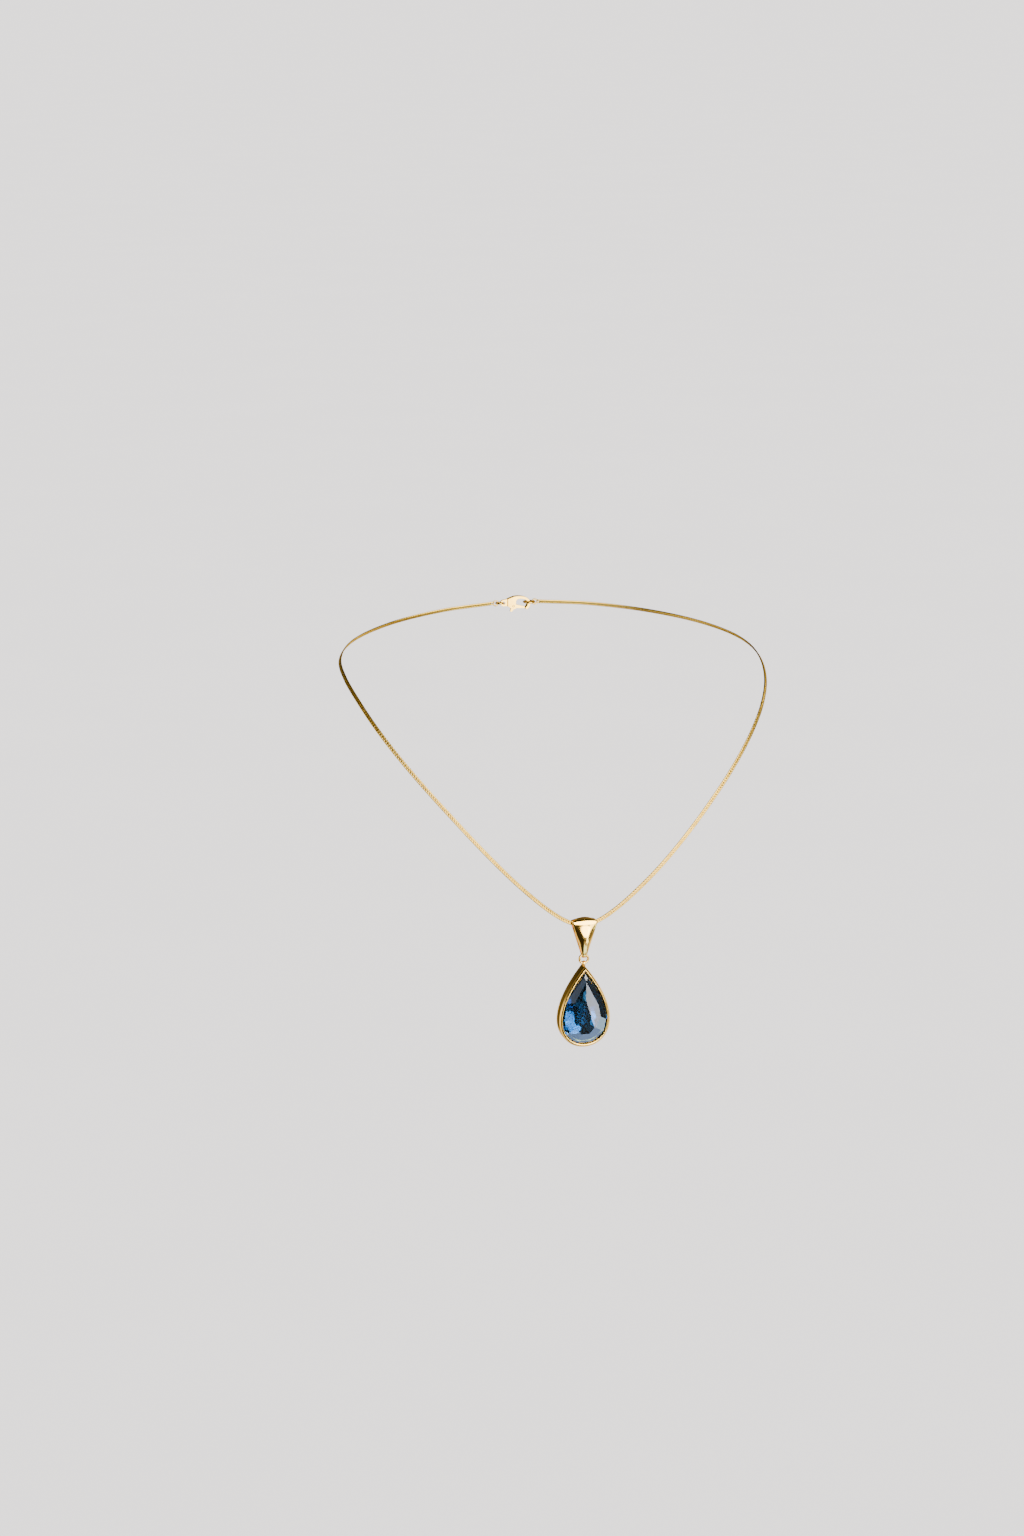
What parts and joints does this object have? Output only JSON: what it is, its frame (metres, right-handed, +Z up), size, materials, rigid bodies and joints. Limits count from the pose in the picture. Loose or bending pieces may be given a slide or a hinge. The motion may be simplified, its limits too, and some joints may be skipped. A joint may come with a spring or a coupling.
{
  "type": "pendant necklace",
  "caption": "Fine curb-chain necklace with a domed bail, a teardrop stone in a smooth bezel and a lobster clasp at the nape.",
  "frame": {"origin": "middle of the wearer's neck, at the level where the chain turns over the shoulders", "axes": "+Z up the neck, -Y to the wearer's front, +X to the wearer's left"},
  "size_m": [0.1476, 0.0945, 0.1389],
  "materials": {
    "gold": "polished",
    "stone": "faceted and polished",
    "spring_steel": "drawn"
  },
  "bodies": {
    "chain": {"chain": "gold", "end_link_left": "gold", "end_link_right": "gold"},
    "bail": {"bail": "gold"},
    "pendant_ring": {"pendant_ring": "gold"},
    "pendant": {"bezel_loop": "gold", "bezel_wall": "gold", "seat_ring": "gold", "back_plate": "gold", "stone": "stone"},
    "clasp": {"clasp_ring": "gold", "clasp_body": "gold", "clasp_rivet": "gold", "clasp_spring": "spring_steel"},
    "catch_ring": {"catch_ring": "gold"},
    "clasp_lever": {"clasp_lever": "gold"}
  },
  "joints": [
    {"name": "bail_rock", "type": "hinge", "parent": "chain", "child": "bail", "pos_m": [0, -0.0415, -0.08], "axis": [1, 0, 0], "range_deg": [-90, 90]},
    {"name": "ring_rock", "type": "hinge", "parent": "bail", "child": "pendant_ring", "pos_m": [0, -0.0415, -0.091], "axis": [1, 0, 0], "range_deg": [-60, 60]},
    {"name": "pendant_sway", "type": "hinge", "parent": "pendant_ring", "child": "pendant", "pos_m": [0, -0.0415, -0.0925], "axis": [0, 1, 0], "range_deg": [-60, 60]},
    {"name": "clasp_turn", "type": "hinge", "parent": "chain", "child": "clasp", "pos_m": [0, 0.0475, 0.0136], "axis": [1, 0, 0], "range_deg": [-35, 35]},
    {"name": "catch_turn", "type": "hinge", "parent": "chain", "child": "catch_ring", "pos_m": [0, 0.0475, 0.0136], "axis": [1, 0, 0], "range_deg": [-35, 35]},
    {"name": "lever_press", "type": "hinge", "parent": "clasp", "child": "clasp_lever", "pos_m": [-0.0009, 0.0475, 0.01245], "axis": [0, -1, 0], "range_deg": [0, 14], "stiffness_Nm_per_rad": 0.0004, "springref_deg": -17.19, "deforming": ["clasp_spring"]}
  ],
  "couplings": [
    {"joint": "catch_turn", "follows": "clasp_turn", "ratio": 1}
  ]
}
